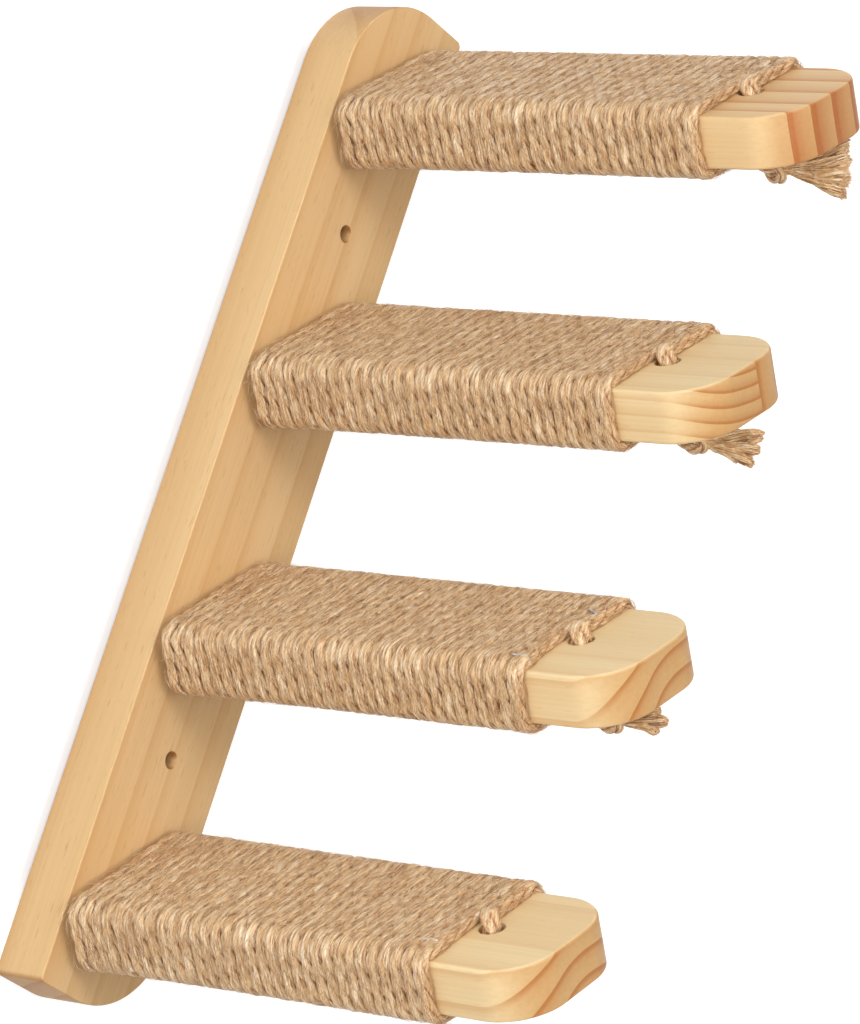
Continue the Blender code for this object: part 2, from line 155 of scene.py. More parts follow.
# Tails. Strands of each: end (out, across, up), radius there and number of fibres, in millimetres
tail_root = np.array([rope_hole_out + 13.5 * MM, -1.5 * MM, -step_thickness / 2 - 10.5 * MM])
tail_strands = {
    1: [((280.5, 16, -15.4), 2.2, 60), ((281, 13, -17.4), 3.4, 190), ((285.5, 6, -21.5), 4.2, 250),
        ((288.5, 0, -28), 4.6, 250), ((286.5, -3, -34), 4.2, 230)],
    2: [((287.5, 0, -20), 3.9, 210), ((285, -1, -26.8), 3.1, 160), ((281, -2, -33.5), 3.7, 210),
        ((272.5, -3, -32.6), 1.9, 50)],
    3: [((278, 0, -18), 2.8, 160), ((281.5, 0, -23), 2.8, 160), ((276, -1, -27.5), 2.8, 160)],
    4: [((284, 1, -19), 3.8, 190), ((285, -1, -25), 4.0, 200), ((280, -2, -31), 3.8, 190)],
}
tail_fibre = 0.27 * MM
tail_rows = 12
tail_inside = 3.0 * MM  # how far within the knot the fibres start
tail_root_radius = 2.6 * MM
tail_spread_power = 1.3  # above 1 a strand spreads late
tail_ragged = 0.04  # share of its length by which a lock ends unevenly, and a fibre too
tail_bend, tail_bend_down = 0.42, 0.231  # where a strand's bend lies on its way, and how low
tail_closing = {1: 0.85, 2: 1.2, 3: 1.2, 4: 1.2}  # how strongly a strand draws together at its end
closing_start, closing_rate = 0.8, 3.6  # where on its length that begins, and how fast it grows
closing_least = 0.12  # of the square of its width, which stays in any case
fibres_per_lock = 11
lock_spiral = 2.4  # angle from one lock to the next, which fills a round bundle evenly
lock_twist, fibre_twist = 2.2, 3.0  # along a strand's whole length
lock_away, lock_size = 0.86, 1.15  # of the strand's radius: the outer locks' place, a lone lock's size
lock_wave, lock_wave_angles = 0.11, (6, 11)  # its swing, of that radius, and angle along the strand
fibre_thickness, fibre_tip = (0.7, 1.25), 0.45  # a fibre's, of tail_fibre, and its tip's, of its own
lock_uv_step, lock_uv_spread = 31 * MM, 1.6 * MM  # a lock's fibres have nearly one colour

# Stray fibres
fuzz_count = 8500
last_hairs = 800  # more of them on the last turn and on the rope into the hole
last_hair_turns = 1.4  # of the winding, before its end
hair_rows = 4
hair_length, last_hair_length = (4 * MM, 11 * MM), (4 * MM, 9 * MM)
hair_lean = 0.5  # spread of their angles to the rope
hair_bow = 0.5 * MM
hair_sunk = 0.35 * MM  # below the rope's surface at its ends
hair_rise = (0.25 * MM, 0.65 * MM)
last_hair_foot, last_hair_rise = 0.1, (0.2, 0.6)  # in millimetres
hair_radius, hair_tip = (0.07 * MM, 0.13 * MM), 0.35  # and the share of it left at the tip
hair_beyond = (2.0 * MM, 2.4 * MM)  # the first and the last turn's middle lines
loose_share = 0.2  # of them stand off at one end
loose_height = (0.3 * MM, 2.0 * MM)
rope_face = 1.9  # half the angle round the rope within which they start, on its outer side
fibre_uv_share = 0.35  # of its length in the UVs, so that a fibre keeps nearly one colour
fibre_uv_step = 7.3 * MM  # from one fibre's colour to the next

# The wall
wall_gap = 0.6 * MM
wall_glow = 0.78
# A painted shadow on the wall: beside the board's near edge its glow drops and takes a bluish tint
painted_shadow_width = 8 * MM  # width of the painted shadow band on the wall beside the board's near edge, where the board's own narrow shadow falls too
painted_shadow_depth = 0.32
painted_shadow_tint = (0.93, 0.94, 1.0, 1)
back_glow = 0.7  # behind the board only, so that its back isn't black from behind

# Camera, fitted to the photograph's outlines
camera_azimuth = -50.141
camera_elevation = 19.271
camera_roll = -10.359
camera_place = (-1.69005, -1.53959, 0.76770)
camera_lens = 178.45


def stacked(*parts):
    """Arrays side by side along a new last axis."""
    return np.stack(parts, axis=-1)


def joined(*parts):
    """Arrays one after the other."""
    return np.concatenate(parts)


def place(number, local):
    """World points of step-local ones (out, across, up)."""
    x, z = step_middles[number]
    out, across, up = np.moveaxis(np.asarray(local, float), -1, 0)
    return stacked(x + across, -out, z + up)


# Meshes from arrays

def grid_faces(rows, columns):
    """Quads between neighbouring rows of a grid whose columns close on themselves."""
    row = np.arange(rows - 1)[:, None] * columns
    column = np.arange(columns)[None, :]
    following = (column + 1) % columns
    corners = stacked(row + column, row + following, row + columns + following, row + columns + column)
    return corners.reshape(-1, 4)


def fan_faces(ring, tip):
    """Triangles from a closed ring of point numbers to one point."""
    ring = np.asarray(ring)
    return stacked(ring, np.roll(ring, -1), np.full(len(ring), tip))


def outward(points, groups):
    """The same faces, turned over together if the closed surface they make is inside out."""
    volume = 0.0
    for faces in groups:
        a, b = points[faces[:, 0]], points[faces[:, 1]]
        for k in range(2, faces.shape[1]):
            c = points[faces[:, k]]
            volume += np.einsum("ij,ij->", a, np.cross(b, c))
            b = c
    return groups if volume > 0 else [faces[:, ::-1] for faces in groups]


def new_object(name, data):
    """A new object in the scene."""
    made = bpy.data.objects.new(name, data)
    bpy.context.scene.collection.objects.link(made)
    return made


def add_piece(name, points, groups, material, corner_uv=None, grooves=None, sharp=None):
    """A smooth mesh object from points (n, 3) and groups of faces, riding on the one body."""
    groups = outward(points, groups)
    mesh = bpy.data.meshes.new(name)
    loops = np.concatenate([faces.ravel() for faces in groups])
    totals = np.concatenate([np.full(len(faces), faces.shape[1]) for faces in groups])
    starts = joined([0], np.cumsum(totals)[:-1])
    mesh.vertices.add(len(points))
    mesh.vertices.foreach_set("co", np.asarray(points, np.float32).ravel())
    mesh.loops.add(len(loops))
    mesh.loops.foreach_set("vertex_index", loops.astype(np.int32))
    mesh.polygons.add(len(totals))
    mesh.polygons.foreach_set("loop_start", starts.astype(np.int32))
    if corner_uv is not None:
        layer = mesh.uv_layers.new(name="rope")
        layer.uv.foreach_set("vector", np.asarray(corner_uv, np.float32).ravel())
    # groove depth per point; the jute material paints shade in the grooves from it
    if grooves is not None:
        layer = mesh.attributes.new("groove", "FLOAT", "POINT")
        layer.data.foreach_set("value", np.asarray(grooves, np.float32).ravel())
    mesh.update(calc_edges=True)
    mesh.shade_smooth()
    if sharp is not None:
        mesh.set_sharp_from_angle(angle=math.radians(sharp))
    mesh.materials.append(material)
    piece = new_object(name, mesh)
    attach(piece, "root")
    return piece


# Curves and ropes

def way_along(points):
    """The way along a line of points to each of them."""
    return joined([0], np.cumsum(np.linalg.norm(np.diff(points, axis=0), axis=1)))


def even_steps(points, count):
    """Count points at even steps along a line of points."""
    way = way_along(points)
    steps = np.linspace(0, way[-1], count)
    return stacked(*(np.interp(steps, way, column) for column in points.T))


def smooth_curve(points, count):
    """Count points on a smooth curve through the given ones, even along its length.

    Between two points the curve is the cubic whose slopes there are half the way between the
    neighbours on both sides.
    """
    points = np.asarray(points, float)
    before = joined(2 * points[:1] - points[1:2], points[:-1])
    after = joined(points[1:], 2 * points[-1:] - points[-2:-1])
    slope = (after - before) / 2
    share = np.linspace(0, 1, curve_steps, endpoint=False)[None, :, None]
    a, b, da, db = points[:-1, None], points[1:, None], slope[:-1, None], slope[1:, None]
    square, cube = share ** 2, share ** 3
    fine = (2 * cube - 3 * square + 1) * a + (cube - 2 * square + share) * da
    fine = fine + (3 * square - 2 * cube) * b + (cube - square) * db
    return even_steps(joined(fine.reshape(-1, 3), points[-1:]), count)


def directions(path, reference):
    """Tangent, wide and thin direction at each point; wide is the reference squared to the path."""
    tangent = np.gradient(path, axis=0)
    tangent /= np.linalg.norm(tangent, axis=1)[:, None]
    wide = reference - tangent * (tangent @ reference)[:, None]
    wide /= np.linalg.norm(wide, axis=1)[:, None]
    return tangent, wide, np.cross(tangent, wide)


def wander(way, lengths, seed):
    """A smooth wandering value around 0: sines of the given wavelengths with seeded phases."""
    phases = np.random.default_rng(seed).uniform(0, 2 * np.pi, len(lengths))
    waves = [np.sin(2 * np.pi * way / length + phase) for length, phase in zip(lengths, phases)]
    return np.sum(waves, axis=0) / len(lengths)


def squared_reach(angle, order):
    """How far the closed curve |x|^n + |y|^n = 1 of order n reaches at an angle."""
    return (np.abs(np.cos(angle)) ** order + np.abs(np.sin(angle)) ** order) ** (-1 / order)


def strand_outline():
    """Angles and radii of a laid rope's outline, and how deep in a groove each point lies, 0 to 1.

    Round strands of radius q whose middles lie c from the rope's middle reach, at an angle d
    from a strand's middle, to c cos d + root of (q squared minus c squared sin squared d). The
    grooves between them are part filled.
    """
    turn = math.pi / strand_count
    offsets = np.linspace(-turn, turn, points_per_strand, endpoint=False)
    strand = 1 / (1 + 1 / math.sin(turn))
    centre = 1 - strand
    reach = centre * np.cos(offsets)
    reach = reach + np.sqrt(np.maximum(strand ** 2 - (centre * np.sin(offsets)) ** 2, 0))
    radius = 1 - groove_share * (1 - reach)
    groove = (1 - reach) / (1 - reach).max()
    angles = joined(*(offsets + 2 * turn * k for k in range(strand_count)))
    return angles, np.tile(radius, strand_count), np.tile(groove, strand_count)


def rope_mesh(path, reference, half_wide, half_deep, seed, pressed=0.0):
    """Points, faces, corner UVs and groove values of a laid rope along a path.

    The outline of the strands turns once in a lay length against the clock. It is squeezed to
    the two half sizes and towards a square, where the rope is pressed, and carried along the
    path. The ends are closed by shallow cones.
    """
    tangent, wide, thin = directions(path, reference)
    way = way_along(path)
    angles, radius, groove = strand_outline()
    around = angles[None, :] - 2 * np.pi * way[:, None] / rope_lay
    strand = np.repeat(np.arange(strand_count), points_per_strand)
    swell = np.stack([wander(way, strand_waves, seed + 7 * k) for k in range(strand_count)])
    cosine, sine = np.cos(around), np.sin(around)
    pressed = np.broadcast_to(pressed, len(path))[:, None]
    lying = np.abs(thin[:, 2:])
    worn = 1 - (side_wear + (flat_wear - side_wear) * lying) * pressed * sine ** 2
    reach = (1 - (1 - radius[None, :]) * worn) * (1 + strand_swell * swell[strand].T)
    # the groove depth that is left, from which the jute paints shade in the grooves, shrinks with it
    groove = groove[None, :] * worn
    half_wide = np.broadcast_to(half_wide, len(path))[:, None]
    half_deep = np.broadcast_to(half_deep, len(path))[:, None]
    order = 2 + pressed * (side_fullness - 2 + (flat_fullness - side_fullness) * lying)
    reach = reach * squared_reach(around, order)
    side = (half_wide * reach * cosine)[..., None] * wide[:, None, :]
    side = side + (half_deep * reach * sine)[..., None] * thin[:, None, :]
    rings = path[:, None, :] + side
    rows, columns = rings.shape[:2]
    ends = np.stack([path[0] - tangent[0] * half_deep[0] / 4, path[-1] + tangent[-1] * half_deep[-1] / 4])
    points = joined(rings.reshape(-1, 3), ends)
    quads = grid_faces(rows, columns)
    row = np.arange(columns)
    caps = joined(fan_faces(row[::-1], rows * columns),
                  fan_faces(row + (rows - 1) * columns, rows * columns + 1))
    girth = (half_wide[0, 0] + half_deep[0, 0]) / 2
    u = np.append(np.repeat(way, columns), [0, way[-1]])
    v = np.append((around * girth).ravel(), [0, 0])
    quad_v = v[quads]
    quad_v[np.tile(row == columns - 1, rows - 1), 1:3] += 2 * np.pi * girth
    corner_uv = joined(stacked(u[quads].ravel(), quad_v.ravel()), stacked(u[caps].ravel(), v[caps].ravel()))
    return points, [quads, caps], corner_uv, np.append(groove.ravel(), [0, 0])


def one_turn():
    """Rows (across, up) of the rope's middle line round a step, and the way to each of them.

    A rectangle with round corners, from the middle of the underside to the far side, up, over
    the top to the near side, down and back.
    """
    wide = step_width / 2 + rope_off_wood - rope_corner
    high = step_thickness / 2 + rope_off_wood - rope_corner
    quarter = np.linspace(0, np.pi / 2, 9)
    corners = []
    for number, (across, up) in enumerate(((wide, -high), (wide, high), (-wide, high), (-wide, -high))):
        angle = quarter + (number - 1) * np.pi / 2
        corners.append(stacked(across + rope_corner * np.cos(angle), up + rope_corner * np.sin(angle)))
    under = np.array([[0, -high - rope_corner]])
    line = joined(under, *corners, under)
    return line, way_along(line)


turn_line, turn_way = one_turn()
turn_length = turn_way[-1]


def raised(out, across, up, height):
    """Places (out, across, up) of the rope's middle line, lifted off the wood by a height.

    Near the board the turns stand prouder by a swell that fades outward, each side by its own.
    """
    core = np.array([step_width / 2, step_thickness / 2]) + rope_off_wood - rope_corner
    side = (across - np.clip(across, -core[0], core[0])) / rope_corner
    rise = (up - np.clip(up, -core[1], core[1])) / rope_corner
    fade = np.exp(-(out - rope_first) / root_length)
    side = side * (height + fade * np.where(side < 0, root_near, root_far))
    rise = rise * (height + fade * np.where(rise < 0, root_under, 0))
    return stacked(out, across + side, up + rise)


def wound_place(way, out, height):
    """Places (out, across, up) at a way round the step and a height over the rope's middle line."""
    across, up = (np.interp(way % turn_length, turn_way, column) for column in turn_line.T)
    return raised(out, across, up, height)


def winding_path(number):
    """Middle line of a winding (out, across, up), its half width and depth, and its free share.

    The free share is 0 on the wood and 1 in the hole, where the rope is round and thick. The
    last turn lies wider, leans outward on the far side and covers the step's staples.
    """
    seed = 100 * number
    last = rope_last + rope_last_shift[number]
    length = rope_turns * turn_length
    stop = length - last_short
    travelled = np.linspace(0, stop, int(stop / rope_ring_step))
    across, up = (np.interp(travelled % turn_length, turn_way, column) for column in turn_line.T)
    out = rope_first + (last - rope_first) / rope_turns * travelled / turn_length
    calm = np.clip((stop - travelled) / calm_length, 0, 1)
    out = out + calm * sway_out * wander(travelled, sway_out_waves, seed)
    ending = np.clip(1 - (stop - travelled) / (ending_turns * turn_length), 0, 1) ** ending_power
    out = out + ending * (last_out + rope_far_out[number] * np.clip(2 * across / step_width, 0, 1))
    full = last_fullness * ending
    height = calm * sway_up * wander(travelled, sway_up_waves, seed + 1)
    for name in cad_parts:
        if name.startswith("staple_step_%d" % number):
            low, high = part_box(name)
            middle = -(low.y + high.y) / 2
            beside = across - ((low.x + high.x) / 2 - step_middles[number][0])
            near = np.exp(-(beside / staple_reach) ** 2) * (up > 0) * (travelled > length - turn_length)
            out = out + near * np.maximum(middle + staple_cover - out, 0)
            full = full + near * staple_fullness
            dent = np.exp(-(beside / dent_across) ** 2 - ((out - middle) / dent_out) ** 4) * (up > 0)
            height = height - dent * staple_dents[name]
    wound = raised(out, across, up, height)
    crest = step_thickness / 2 + rope_off_wood
    dive = smooth_curve([
        wound[-1],
        (wound[-1, 0] + 0.3 * MM, 6.0 * MM, crest + 0.9 * MM),
        (rope_hole_out - 2.4 * MM, 2.6 * MM, crest - 0.8 * MM),
        (rope_hole_out - 0.4 * MM, 0, crest - 5.0 * MM),
        (rope_hole_out - 0.1 * MM, 0, step_thickness / 4),
        (rope_hole_out, 0, -step_thickness / 4),
    ], dive_rings)[1:]
    free = joined(np.zeros(len(wound)), np.minimum(np.linspace(0, dive_ease, len(dive)), 1))
    full = joined(full, np.full(len(dive), last_fullness))
    half_wide = (rope_wide * (1 + full) * (1 - free) + rope_free[number] * free) / 2
    half_deep = (rope_deep + (rope_free[number] - rope_deep) * free) / 2
    return joined(wound, dive), half_wide, half_deep, free


def add_rope(name, number, rope, jute, replaced):
    """A piece from a rope's step-local mesh, in the place of a node of the solids."""
    points, groups, corner_uv, grooves = rope
    piece = add_piece(name, place(number, points), groups, jute, corner_uv, grooves)
    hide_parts(replaced)


def make_winding(number, jute):
    """The rope round one step: some 32 turns of laid rope, then its dive into the hole."""
    path, half_wide, half_deep, free = winding_path(number)
    rope = rope_mesh(path, np.array([1.0, 0.0, 0.0]), half_wide, half_deep, 100 * number + 10, 1 - free)
    add_rope("rope_%d" % number, number, rope, jute, "rope_winding_%d" % number)


def turned(number, local):
    """Places (out, across, up) turned with a step's knot about the knot's upright."""
    angle = math.radians(knot_turns[number])
    out, across = local[..., 0] - knot_axis_out, local[..., 1]
    return stacked(knot_axis_out + out * math.cos(angle) - across * math.sin(angle),
                   out * math.sin(angle) + across * math.cos(angle), local[..., 2])


def make_knot(number, jute):
    """An overhand knot under the tip, with one lobe hanging down.

    Its middle line is the trefoil x = sin t + 2 sin 2t, y = cos t - 2 cos 2t, z = sin 3t, cut
    open at its outer upper lobe: there the rope comes in from the hole and the tail leaves. The
    lower lobe is made broader and a little longer.
    """
    t = np.linspace(knot_opening, 2 * math.pi - knot_opening, knot_samples) + math.pi / 3
    x = np.sin(t) + 2 * np.sin(2 * t)
    y = np.cos(t) - 2 * np.cos(2 * t)
    lower = np.clip(-y / 2, 0, 1)
    x = x * (1 + lobe_broader * lower)
    y = y * (1 + lobe_longer * lower)
    loop = knot_middle + stacked(knot_width[number] * x, knot_depth * np.sin(3 * t), knot_lobe * y)
    under = -step_thickness / 2
    coming = np.array([(rope_hole_out, 0, under + 6 * MM), (rope_hole_out, 0, under - 0.5 * MM),
                       (rope_hole_out + 3.2 * MM, 0.6 * MM, under - 3.4 * MM)])
    knotted = turned(number, joined(loop[::4], tail_root[None]))
    path = smooth_curve(joined(coming, knotted), knot_rings)
    rope = rope_mesh(path, np.array([0.0, 1.0, 0.0]), knot_rope / 2, knot_rope / 2, 100 * number + 40)
    add_rope("knot_%d" % number, number, rope, jute, "rope_knot_%d" % number)


# Loose fibres

def fibre_mesh(paths, radii, sides, shade=None):
    """Closed thin tubes along many paths (n, m, 3), with corner UVs: way along, and a shade each."""
    count, rows = paths.shape[:2]
    tangent = np.gradient(paths, axis=1)
    tangent /= np.linalg.norm(tangent, axis=2)[..., None]
    odd_axis = np.array([0.31, 0.17, 0.93])  # no fibre runs along it
    wide = np.cross(tangent, odd_axis)
    wide /= np.linalg.norm(wide, axis=2)[..., None]
    thin = np.cross(tangent, wide)
    angle = np.linspace(0, 2 * np.pi, sides, endpoint=False)
    ring = np.cos(angle)[:, None] * wide[:, :, None, :] + np.sin(angle)[:, None] * thin[:, :, None, :]
    points = paths[:, :, None, :] + radii[..., None, None] * ring
    start = np.arange(count)[:, None, None] * rows * sides
    quads = (grid_faces(rows, sides)[None] + start).reshape(-1, 4)
    first = start[:, 0] + np.arange(sides)[::-1]
    last = start[:, 0] + (rows - 1) * sides + np.arange(sides)
    caps = joined(first, last)
    way = np.cumsum(np.linalg.norm(np.diff(paths, axis=1), axis=2), axis=1)
    way = np.concatenate([np.zeros((count, 1)), way], axis=1)
    u = np.repeat(fibre_uv_share * way.ravel(), sides)
    shade = np.arange(count) * fibre_uv_step if shade is None else shade
    v = np.repeat(shade, rows * sides)
    corners = joined(quads.ravel(), caps.ravel())
    return points.reshape(-1, 3), [quads, caps], stacked(u[corners], v[corners])


def make_tail(number, jute):
    """The rope's end, opened out: each strand is a bundle of fibres from the root to its own end.

    A strand's fibres hang together in locks. A lock keeps its angle in the bundle but for a slow
    twist and waves to and fro; its distance from the bundle's middle grows from the rope's
    radius to the strand's end radius, and its fibres keep places round its own middle.
    """
    rng = np.random.default_rng(900 + number)
    share = np.linspace(0, 1, tail_rows)
    paths, radii, shades = [], [], []
    for end, radius, count in tail_strands[number]:
        end = np.array(end) * MM
        locks = max(count // fibres_per_lock, 3)
        lock = rng.integers(0, locks, count)
        bend = tail_root + (end - tail_root) * (tail_bend, tail_bend, tail_bend_down)
        reach = (1 - tail_ragged + tail_ragged * rng.uniform(0, 1, locks))[lock]
        reach = reach * rng.uniform(1 - tail_ragged, 1, count)
        length = reach[:, None] * share[None, :]
        t = length[..., None]
        middle = (1 - t) ** 2 * (tail_root - (tail_inside, 0, 0)) + 2 * t * (1 - t) * bend + t ** 2 * end
        swell = tail_root_radius * (1 - length) + radius * MM * length ** tail_spread_power
        closing = tail_closing[number] * np.clip((length - closing_start) * closing_rate, 0, 1)
        swell = swell * np.sqrt(np.clip(1 - closing ** 2, closing_least, 1))
        spiral = np.arange(locks) * lock_spiral + rng.uniform(0, 0.5, locks)
        angle = spiral[lock][:, None] - lock_twist * length
        away = lock_away * np.sqrt((np.arange(locks) + 0.4) / locks)[lock][:, None]
        own_angle = rng.uniform(0, 2 * np.pi, count)[:, None] - fibre_twist * length
        own_away = np.sqrt(rng.uniform(0, 1, count))[:, None] * (lock_size / np.sqrt(locks))
        phase = rng.uniform(0, 6.28, locks)[lock][:, None]
        wave = lock_wave * np.sin(rng.uniform(*lock_wave_angles, locks)[lock][:, None] * length + phase)
        across = swell * (away * np.cos(angle) + own_away * np.cos(own_angle) + wave)
        up = swell * (away * np.sin(angle) + own_away * np.sin(own_angle) + 0.8 * wave)
        paths.append(middle + stacked(0 * up, across, up))
        thickness = rng.uniform(*fibre_thickness, count)[:, None]
        radii.append(tail_fibre * thickness * np.where(share < 1, 1, fibre_tip)[None, :])
        shades.append(lock * lock_uv_step + rng.uniform(0, lock_uv_spread, count))
    points, groups, corner_uv = fibre_mesh(turned(number, joined(*paths)), joined(*radii), 4, joined(*shades))
    add_rope("tail_%d" % number, number, (points, groups, corner_uv, None), jute, "rope_tail_%d" % number)


def rope_hairs(path, half_wide, half_deep, count, rng):
    """Paths of hairs that lie on a rope's outer half, along it at a slight angle.

    A hair starts at a seeded way and angle d round the rope and runs on along both. Its reach is
    the rope's, divided by the cube root of cos d cubed plus sin d cubed, and a hump.
    """
    tangent, wide, thin = directions(path, np.array([1.0, 0.0, 0.0]))
    way = way_along(path)
    share = np.linspace(0, 1, hair_rows)[None, :]
    length = rng.uniform(*last_hair_length, (count, 1))
    lean = rng.normal(0.0, hair_lean, (count, 1))
    at = rng.uniform(0, way[-1], (count, 1)) + length * np.cos(lean) * share
    at = np.minimum(at, way[-1])
    around = rng.uniform(-rope_face, rope_face, (count, 1)) + length * np.sin(lean) * share / (rope_wide / 2)
    square = squared_reach(around, 3)
    hump = (last_hair_foot + 4 * share * (1 - share) * rng.uniform(*last_hair_rise, (count, 1))) * MM
    spot, sideways, upward = (stacked(*(np.interp(at, way, column) for column in values.T))
                              for values in (path, wide, thin))
    reach_wide = np.interp(at, way, half_wide) * square + hump
    reach_deep = np.interp(at, way, half_deep) * square + hump
    spot = spot + (reach_wide * np.cos(around))[..., None] * sideways
    return spot + (reach_deep * np.sin(around))[..., None] * upward


def make_fuzz(number, fuzz):
    """Stray fibres on a winding: short curved hairs that leave the rope and mostly dip back.

    A hair runs from a seeded place at a seeded angle to the rope; its height over the rope is
    a hump, and the free end of some rises with the square of the way along the hair.
    """
    rng = np.random.default_rng(700 + number)
    share = np.linspace(0, 1, hair_rows)[None, :]

    def seeded(low, high):
        return rng.uniform(low, high, (fuzz_count, 1))

    length = seeded(*hair_length)
    angle = rng.normal(0.0, hair_lean, (fuzz_count, 1))
    way = seeded(0, 1) + length * np.cos(angle) * share
    last = rope_last + rope_last_shift[number]
    out = seeded(rope_first, last) + length * np.sin(angle) * share
    out = out + seeded(-hair_bow, hair_bow) * np.sin(np.pi * share) * 2
    out = np.clip(out, rope_first - hair_beyond[0], last + hair_beyond[1])
    free = np.where(seeded(0, 1) > 1 - loose_share, seeded(*loose_height), 0)
    height = rope_deep / 2 - hair_sunk + 4 * share * (1 - share) * seeded(*hair_rise)
    height = height + free * share ** 2
    kept = slice(-int(last_hair_turns * turn_length / rope_ring_step), None)
    path, half_wide, half_deep, _ = (values[kept] for values in winding_path(number))
    hairs = rope_hairs(path, half_wide, half_deep, last_hairs, rng)
    paths = joined(wound_place(way, out, height), hairs)
    radii = rng.uniform(*hair_radius, (len(paths), 1)) * np.clip(1.2 - share, hair_tip, 1)
    points, groups, corner_uv = fibre_mesh(paths, radii, 3)
    add_piece("fuzz_%d" % number, place(number, points), groups, fuzz, corner_uv)


# Boards

def arc(across, along, radius, start, end, count=28):
    """Points and outward normals of an arc round a centre, angles in degrees."""
    angle = np.radians(np.linspace(start, end, count))
    normal = stacked(np.cos(angle), np.sin(angle))
    return np.array([across, along]) + radius * normal, normal


def closed_outline(*arcs):
    """One closed outline from arcs that follow each other anticlockwise, with its normals."""
    return tuple(joined(*parts) for parts in zip(*arcs))


def eased(radius, count):
    """Rows (inset, drop) of a quarter round, after a narrow flat, from a face to its side."""
    quarter = np.linspace(0, np.pi / 2, count)
    curve = stacked(radius * (1 - np.sin(quarter)), -radius * (1 - np.cos(quarter)))
    return joined([[radius + flat_margin, 0]], curve)


def edge_profile(thickness, radius):
    """Rows (inset, height) over an eased edge, from the flat top face down to the flat underside."""
    upper = eased(radius, 7) + (0, thickness / 2)
    return joined(upper, upper[::-1] * (1, -1))


def hole_profile(thickness, front_radius, back_radius, ledge=None, cone=None, ease=rim_round):
    """Rows (radius, height) down a drilled hole, eased at both rims, with a ledge or a cone inside."""
    rim = eased(ease, 4)
    front = rim + (front_radius, thickness / 2)
    back = (rim * (1, -1) + (back_radius, -thickness / 2))[::-1]
    middle = np.zeros((0, 2))
    if ledge is not None:
        middle = np.array([[front_radius, ledge], [back_radius, ledge]])
    if cone is not None:
        middle = np.array([[front_radius, cone], [back_radius, -thickness / 2 + ease * 1.5]])
    return joined(front, middle, back)


def plank_mesh(outline, normals, thickness, radius, holes):
    """A plank with eased edges and drilled holes, lying flat with its thickness along the third axis.

    The edge is a grid: the outline moved in along its normals by the edge profile's rows. Each
    hole is a grid of circles. Triangles fill the two flat faces between them.
    """
    blocks, groups, rims = [], [], []
    count = 0

    def add_grid(flat, heights, turned_over=False):
        nonlocal count
        height = np.broadcast_to(heights[:, None, None], flat.shape[:2] + (1,))
        grid = np.concatenate([flat, height], axis=-1)
        rows, columns = grid.shape[:2]
        blocks.append((grid[:, ::-1] if turned_over else grid).reshape(-1, 3))
        groups.append(grid_faces(rows, columns) + count)
        first = count + np.arange(columns)
        count += rows * columns
        rims.append((first, first + (rows - 1) * columns))

    profile = edge_profile(thickness, radius)
    add_grid(outline[None] - profile[:, 0, None, None] * normals[None], profile[:, 1])
    turn = np.linspace(0, 2 * np.pi, 40, endpoint=False)
    circle = stacked(np.cos(turn), np.sin(turn))
    for centre, rows in holes:
        add_grid(np.asarray(centre) + rows[:, 0, None, None] * circle[None], rows[:, 1], turned_over=True)
    points = joined(*blocks)
    for side in (0, 1):
        loops = [rim[side] for rim in rims]
        numbers = joined(*loops)
        edges, start = [], 0
        for loop in loops:
            index = np.arange(len(loop)) + start
            edges.append(stacked(index, np.roll(index, -1)))
            start += len(loop)
        made = delaunay_2d_cdt([Vector(p) for p in points[numbers, :2].tolist()],
                               joined(*edges).tolist(), [], 1, 1e-9)
        triangles = np.array(made[2])
        middles = points[numbers][triangles].mean(axis=1)[:, :2]
        keep = np.ones(len(triangles), bool)
        for centre, rows in holes:
            end = rows[0] if side == 0 else rows[-1]
            keep &= np.linalg.norm(middles - np.asarray(centre), axis=1) > end[0] * 0.99
        triangles = numbers[triangles[keep]]
        groups.append(triangles if side == 0 else triangles[:, ::-1])
    return points, groups


def step_outline():
    """A step seen from above as (out, across): square at the root, rounded at the tip."""
    half = step_width / 2
    tip = step_tip - step_corner_radius
    side = half - step_corner_radius
    corner = sharp_corner_radius
    return closed_outline(
        arc(step_root + corner, half - corner, corner, 90, 180, 8),
        arc(step_root + corner, corner - half, corner, 180, 270, 8),
        arc(tip, -side, step_corner_radius, -90, 0),
        arc(tip, side, step_corner_radius, 0, 90))


def make_step_board(number, pine):
    """One pine step with the rope's hole near its tip."""
    outline, normals = step_outline()
    rows = hole_profile(step_thickness, rope_hole_radius, rope_hole_radius)
    holes = [((rope_hole_out, 0), rows)]
    points, groups = plank_mesh(outline, normals, step_thickness, step_edge_round, holes)
    piece = add_piece("step_%d" % number, place(number, points), groups, pine, sharp=crease_angle)
    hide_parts("step_board_%d" % number)


